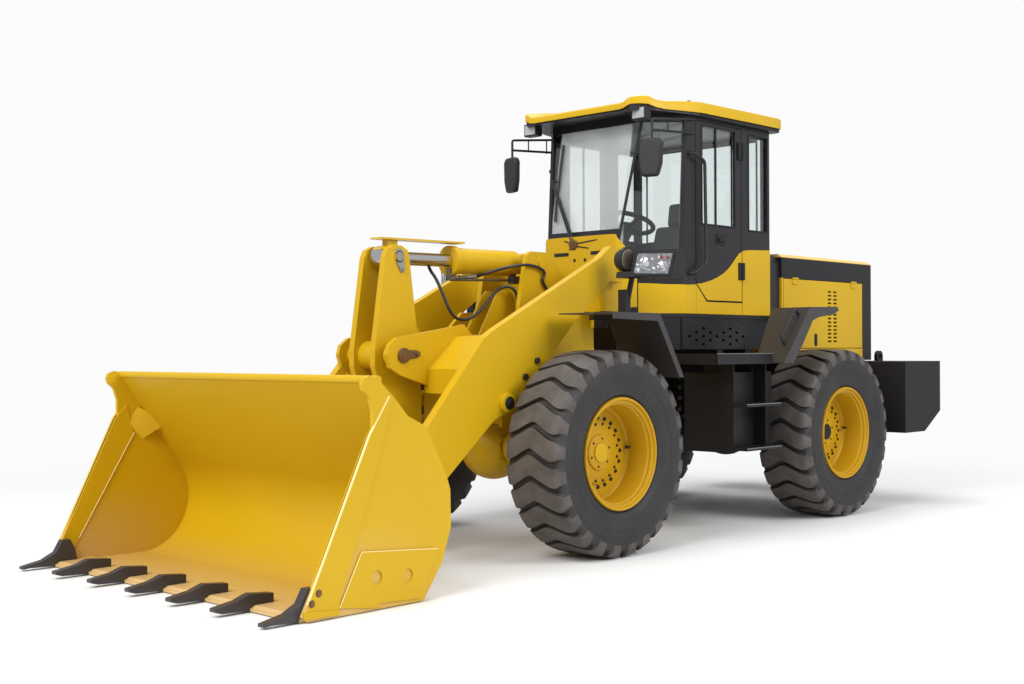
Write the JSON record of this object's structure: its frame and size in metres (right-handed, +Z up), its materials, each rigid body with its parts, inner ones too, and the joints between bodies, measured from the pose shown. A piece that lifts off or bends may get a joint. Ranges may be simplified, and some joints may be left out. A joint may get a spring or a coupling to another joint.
{
  "type": "wheel loader",
  "caption": "Yellow articulated wheel loader of the three-tonne class with a Z-bar boom, toothed bucket, closed cab, hinged hood doors and four chevron-lugged tyres.",
  "frame": {"origin": "on the ground under the middle of the overall box, bucket flat on the ground and machine straight", "axes": "+Z up, -Y forward towards the bucket, +X the machine's left"},
  "size_m": [2.484, 7.19, 3.118],
  "materials": {
    "yellow_paint": "gloss",
    "dark_grey_paint": "satin",
    "black_paint": "satin",
    "tyre_rubber": "matte",
    "window_glass": "gloss",
    "chrome_rod": "polished",
    "black_plastic": "matte",
    "seat_vinyl": "matte"
  },
  "bodies": {
    "rear": {"rear_frame": "dark_grey_paint", "rear_axle": "dark_grey_paint", "counterweight": "dark_grey_paint", "engine_block": "dark_grey_paint", "hood_shell": "yellow_paint", "hood_collar": "black_paint", "rear_grille": "dark_grey_paint", "rear_fenders": "dark_grey_paint", "steps": "dark_grey_paint", "cab_base": "dark_grey_paint", "cab_lower": "yellow_paint", "cab_frame": "black_paint", "cab_glass": "window_glass", "roof_tray": "black_paint", "roof_cap": "yellow_paint", "seat": "seat_vinyl", "steering_column": "black_plastic", "mirrors": "black_plastic"},
    "front": {"front_frame": "yellow_paint", "front_axle": "dark_grey_paint", "front_fenders": "dark_grey_paint", "head_lamps": "black_plastic"},
    "boom": {"boom_arm_left": "yellow_paint", "boom_arm_right": "yellow_paint", "boom_cross_beam": "yellow_paint"},
    "bell_crank": {"bell_crank": "yellow_paint"},
    "tilt_link": {"tilt_link": "yellow_paint"},
    "bucket": {"bucket_shell": "yellow_paint", "bucket_teeth": "dark_grey_paint"},
    "tilt_barrel": {"tilt_barrel": "yellow_paint"},
    "tilt_rod": {"tilt_rod": "chrome_rod"},
    "door_left": {"cab_door_left": "black_paint", "door_glass_left": "window_glass"},
    "hood_door_left": {"hood_door_left": "yellow_paint"},
    "lift_barrel_left": {"lift_barrel_left": "yellow_paint"},
    "lift_rod_left": {"lift_rod_left": "chrome_rod"},
    "steer_barrel_left": {"steer_barrel_left": "yellow_paint"},
    "steer_rod_left": {"steer_rod_left": "chrome_rod"},
    "wheel_front_left": {"tyre_front_left": "tyre_rubber", "rim_front_left": "yellow_paint"},
    "wheel_rear_left": {"tyre_rear_left": "tyre_rubber", "rim_rear_left": "yellow_paint"},
    "door_right": {"cab_door_right": "black_paint", "door_glass_right": "window_glass"},
    "hood_door_right": {"hood_door_right": "yellow_paint"},
    "lift_barrel_right": {"lift_barrel_right": "yellow_paint"},
    "lift_rod_right": {"lift_rod_right": "chrome_rod"},
    "steer_barrel_right": {"steer_barrel_right": "yellow_paint"},
    "steer_rod_right": {"steer_rod_right": "chrome_rod"},
    "wheel_front_right": {"tyre_front_right": "tyre_rubber", "rim_front_right": "yellow_paint"},
    "wheel_rear_right": {"tyre_rear_right": "tyre_rubber", "rim_rear_right": "yellow_paint"}
  },
  "joints": [
    {"name": "steer", "type": "hinge", "parent": "rear", "child": "front", "pos_m": [0, 0.5605, 0.82], "axis": [0, 0, 1], "range_deg": [-35, 35]},
    {"name": "boom_lift", "type": "hinge", "parent": "front", "child": "boom", "pos_m": [0, -0.205, 1.87], "axis": [-1, 0, 0], "range_deg": [0, 78]},
    {"name": "bucket", "type": "hinge", "parent": "boom", "child": "bucket", "pos_m": [0, -2.275, 0.33], "axis": [1, 0, 0], "range_deg": [-42, 118]},
    {"name": "crank", "type": "hinge", "parent": "boom", "child": "bell_crank", "pos_m": [0, -1.861, 1.266], "axis": [1, 0, 0], "range_deg": [-24, 9]},
    {"name": "link", "type": "hinge", "parent": "bell_crank", "child": "tilt_link", "pos_m": [0, -1.705, 0.52], "axis": [1, 0, 0], "range_deg": [-17, 48]},
    {"name": "tilt_barrel_pin", "type": "hinge", "parent": "front", "child": "tilt_barrel", "pos_m": [0, -0.565, 1.895], "axis": [-1, 0, 0], "range_deg": [0, 86]},
    {"name": "tilt_piston", "type": "slide", "parent": "tilt_barrel", "child": "tilt_rod", "axis": [0, -0.9999, -0.0122], "range_m": [-0.207, 0.074]},
    {"name": "lift_barrel_pin_left", "type": "hinge", "parent": "front", "child": "lift_barrel_left", "pos_m": [0.47, -0.045, 0.97], "axis": [-1, 0, 0], "range_deg": [0, 56]},
    {"name": "lift_piston_left", "type": "slide", "parent": "lift_barrel_left", "child": "lift_rod_left", "axis": [0, -1, 0], "range_m": [0, 0.93]},
    {"name": "lift_barrel_pin_right", "type": "hinge", "parent": "front", "child": "lift_barrel_right", "pos_m": [-0.47, -0.045, 0.97], "axis": [-1, 0, 0], "range_deg": [0, 56]},
    {"name": "lift_piston_right", "type": "slide", "parent": "lift_barrel_right", "child": "lift_rod_right", "axis": [0, -1, 0], "range_m": [0, 0.93]},
    {"name": "steer_barrel_pin_left", "type": "hinge", "parent": "rear", "child": "steer_barrel_left", "pos_m": [0.4, 1.1105, 0.82], "axis": [0, 0, 1], "range_deg": [-13, 13]},
    {"name": "steer_piston_left", "type": "slide", "parent": "steer_barrel_left", "child": "steer_rod_left", "axis": [-0.1069, -0.9943, 0], "range_m": [-0.203, 0.203]},
    {"name": "steer_barrel_pin_right", "type": "hinge", "parent": "rear", "child": "steer_barrel_right", "pos_m": [-0.4, 1.1105, 0.82], "axis": [0, 0, 1], "range_deg": [-13, 13]},
    {"name": "steer_piston_right", "type": "slide", "parent": "steer_barrel_right", "child": "steer_rod_right", "axis": [0.1069, -0.9943, 0], "range_m": [-0.203, 0.203]},
    {"name": "wheel_front_left_spin", "type": "hinge", "parent": "front", "child": "wheel_front_left", "pos_m": [0.925, -0.825, 0.648], "axis": [1, 0, 0], "continuous": true},
    {"name": "wheel_front_right_spin", "type": "hinge", "parent": "front", "child": "wheel_front_right", "pos_m": [-0.925, -0.825, 0.648], "axis": [1, 0, 0], "continuous": true},
    {"name": "wheel_rear_left_spin", "type": "hinge", "parent": "rear", "child": "wheel_rear_left", "pos_m": [0.925, 1.946, 0.648], "axis": [1, 0, 0], "continuous": true},
    {"name": "wheel_rear_right_spin", "type": "hinge", "parent": "rear", "child": "wheel_rear_right", "pos_m": [-0.925, 1.946, 0.648], "axis": [1, 0, 0], "continuous": true},
    {"name": "door_hinge_left", "type": "hinge", "parent": "rear", "child": "door_left", "pos_m": [0.674, 1.2025, 2.28], "axis": [0, 0, 1], "range_deg": [0, 90]},
    {"name": "door_hinge_right", "type": "hinge", "parent": "rear", "child": "door_right", "pos_m": [-0.674, 1.2025, 2.28], "axis": [0, 0, -1], "range_deg": [0, 90]},
    {"name": "hood_hinge_left", "type": "hinge", "parent": "rear", "child": "hood_door_left", "pos_m": [0.6583, 2.4, 1.862], "axis": [0, -1, 0], "range_deg": [0, 80]},
    {"name": "hood_hinge_right", "type": "hinge", "parent": "rear", "child": "hood_door_right", "pos_m": [-0.6583, 2.4, 1.862], "axis": [0, 1, 0], "range_deg": [0, 80]}
  ],
  "couplings": [
    {"joint": "crank", "follows": "bucket", "ratio": -0.2},
    {"joint": "link", "follows": "bucket", "ratio": 0.4},
    {"joint": "tilt_barrel_pin", "follows": "boom_lift", "ratio": 1.1},
    {"joint": "tilt_piston", "follows": "bucket", "m_per_rad": -0.1},
    {"joint": "lift_barrel_pin_left", "follows": "boom_lift", "ratio": 0.706},
    {"joint": "lift_piston_left", "follows": "boom_lift", "m_per_rad": 0.683},
    {"joint": "lift_barrel_pin_right", "follows": "boom_lift", "ratio": 0.706},
    {"joint": "lift_piston_right", "follows": "boom_lift", "m_per_rad": 0.683},
    {"joint": "steer_barrel_pin_left", "follows": "steer", "ratio": 0.36},
    {"joint": "steer_piston_left", "follows": "steer", "m_per_rad": -0.332},
    {"joint": "steer_barrel_pin_right", "follows": "steer", "ratio": 0.36},
    {"joint": "steer_piston_right", "follows": "steer", "m_per_rad": 0.332}
  ]
}
